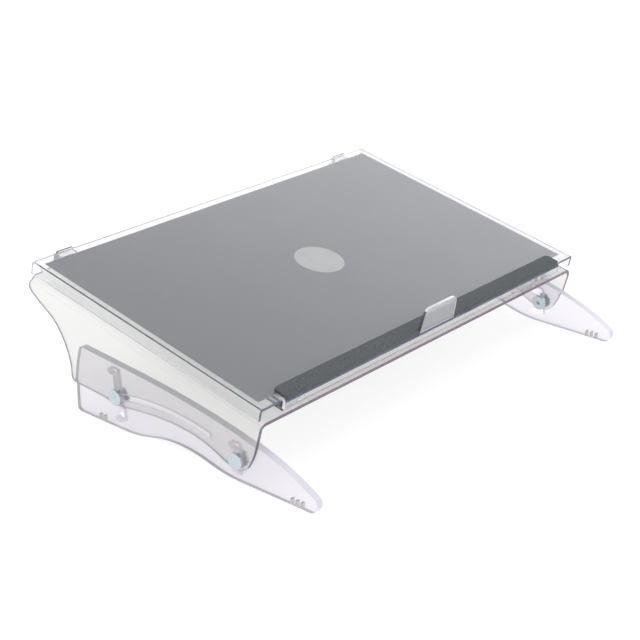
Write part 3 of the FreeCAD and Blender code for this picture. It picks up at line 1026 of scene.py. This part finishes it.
def buildScrew(settings, axis):
    # built pointing outwards from the foot's inner face: head inside, threaded shank in the nut
    thick, radius, chamfer = settings["headThickness"], settings["headRadius"], settings["chamfer"]
    shank = settings["screwRadius"]
    socket, seat = settings["socketFlats"] / math.sqrt(3), stand["contactGap"]
    soft, edge = settings["softness"], settings["rimBreak"]
    profile = [
        (-thick, socket + settings["socketRim"]), (-thick, radius - chamfer - soft),
        (-thick + soft, radius - chamfer + soft / 2), (-thick + chamfer, radius),
        (-seat - edge, radius), (-seat, radius - edge), (-seat, shank),
    ]
    at = settings["tipBreak"]
    while at < settings["screwLength"] - 1:  # rolled rings stand for the thread
        profile += [(at, shank), (at + settings["threadPitch"] / 2, shank - settings["threadDepth"])]
        at += settings["threadPitch"]
    profile += [
        (at, shank), (settings["screwLength"] - 0.4, shank), (settings["screwLength"], shank - 0.4),
        (settings["screwLength"], 0),
    ]
    bm = bmesh.new()
    turnProfile(bm, profile, settings["segments"])
    rim = [e for e in bm.edges if len(e.link_faces) == 1]
    made = bmesh.ops.create_circle(bm, cap_ends=False, segments=6, radius=socket)
    bmesh.ops.transform(
        bm, matrix=Matrix.Translation((-thick, 0, 0)) @ Matrix.Rotation(math.pi / 2, 4, "Y"),
        verts=made["verts"],
    )
    hexagon = list({e for v in made["verts"] for e in v.link_edges})
    bmesh.ops.bridge_loops(bm, edges=rim + hexagon)
    down = bmesh.ops.extrude_edge_only(bm, edges=hexagon)
    floorVerts = newVerts(down)
    newEdges = [e for e in down["geom"] if isinstance(e, bmesh.types.BMEdge)]
    floorEdges = [e for e in newEdges if all(v in floorVerts for v in e.verts)]
    bmesh.ops.translate(bm, verts=floorVerts, vec=(settings["socketDepth"], 0, 0))
    bmesh.ops.edgeloop_fill(bm, edges=floorEdges)
    placeOnAxis(bm, footSettings["outer"] - footSettings["sheet"], axis)
    return bm


bolts = (("front", stand["frontBolt"], "front_bolts"), ("rear", stand["rearBolt"], "rear_bolts"))
for name, axis, carrier in bolts:
    screws = [name + "_screw_right", name + "_screw_left"]
    finishPair(
        buildNut(boltSettings, axis), name + "Nut", sidePlace, [grained["boltSteel"]],
        [carrier, carrier], handed(name + "_sleeve_nut"),
    )
    finishPair(
        buildScrew(boltSettings, axis), name + "Screw", sidePlace, [grained["boltSteel"]], screws,
        handed(name + "_clamp_screw"),
    )
print("clamp bolts placed")

studio = {
    "floorColour": (0.36, 0.36, 0.36, 1),
    "floorSize": 14.0,
    "floorDrop": 0.0003,  # air under the feet
    "floorGlow": 0.77,  # a lit table, so the shadows stay faint
    "sky": ((0.0, 0.95), (0.48, 1.25), (0.66, 0.6), (1.0, 0.85)),  # height of direction, brightness
    "skyTint": (0.985, 0.99, 1.0),
    "lamps": [
        {"name": "overheadBox", "place": (0.2, 0.5, 2.6), "aim": (0, 0, 0.05), "size": 2.6, "power": 26.0},
        {"name": "rightFill", "place": (2.2, -1.2, 1.6), "aim": (0, 0, 0.05), "size": 1.6, "power": 12.0},
    ],
}
view = {
    "place": Vector((-1.16987, -0.95139, 0.70266)),
    "right": Vector((0.64572, -0.76343, 0.01478)),
    "down": Vector((-0.29353, -0.26606, -0.91818)),
    "lens": 87.15,
}


def makeFloor(settings):
    bm = bmesh.new()
    bmesh.ops.create_grid(bm, x_segments=1, y_segments=1, size=settings["floorSize"] / 2)
    mesh = bpy.data.meshes.new("studioFloor")
    bm.to_mesh(mesh)
    bm.free()
    material, tree, shader, output = newMaterial("paleFloor")
    setShader(
        shader,
        {
            "Base Color": settings["floorColour"], "Roughness": 0.9, "Specular IOR Level": 0.1,
            "Emission Color": (1, 1, 1, 1), "Emission Strength": settings["floorGlow"],
        },
    )
    mesh.materials.append(material)
    floor = bpy.data.objects.new("studioFloor", mesh)
    floor.location.z = -settings["floorDrop"]
    scene.collection.objects.link(floor)


def makeSky(settings):
    world = bpy.data.worlds.new("softStudio")
    world.use_nodes = True
    tree = world.node_tree
    background = tree.nodes["Background"]
    direction = addNode(tree, "ShaderNodeTexCoord")
    split = addNode(tree, "ShaderNodeSeparateXYZ", {}, {0: direction.outputs["Generated"]})
    ramp = addNode(tree, "ShaderNodeValToRGB", {}, {"Fac": split.outputs["Z"]})
    ramp.color_ramp.interpolation = "EASE"
    while len(ramp.color_ramp.elements) < len(settings["sky"]):
        ramp.color_ramp.elements.new(0.5)
    for stop, (height, brightness) in zip(ramp.color_ramp.elements, settings["sky"]):
        stop.position = height
        stop.color = [share * brightness for share in settings["skyTint"]] + [1]
    tree.links.new(ramp.outputs["Color"], background.inputs["Color"])
    scene.world = world


def makeLamps(settings):
    for lamp in settings["lamps"]:
        light = bpy.data.lights.new(lamp["name"], "AREA")
        light.shape = "DISK"
        light.size = lamp["size"]
        light.energy = lamp["power"]
        holder = bpy.data.objects.new(lamp["name"], light)
        place, aim = Vector(lamp["place"]), Vector(lamp["aim"])
        turn = (aim - place).to_track_quat("-Z", "Y").to_matrix().to_4x4()
        holder.matrix_world = Matrix.Translation(place) @ turn
        scene.collection.objects.link(holder)


def makeCamera(settings):
    camera = bpy.data.cameras.new("viewCamera")
    camera.lens = settings["lens"]
    camera.sensor_width = 36.0
    right, up = settings["right"].normalized(), -settings["down"].normalized()
    back = right.cross(up)
    turn = Matrix((right, up, back)).transposed().to_4x4()
    holder = bpy.data.objects.new("viewCamera", camera)
    holder.matrix_world = Matrix.Translation(settings["place"]) @ turn
    scene.collection.objects.link(holder)
    scene.camera = holder


makeFloor(studio)
makeSky(studio)
makeLamps(studio)
makeCamera(view)
print("floor, light and camera set")
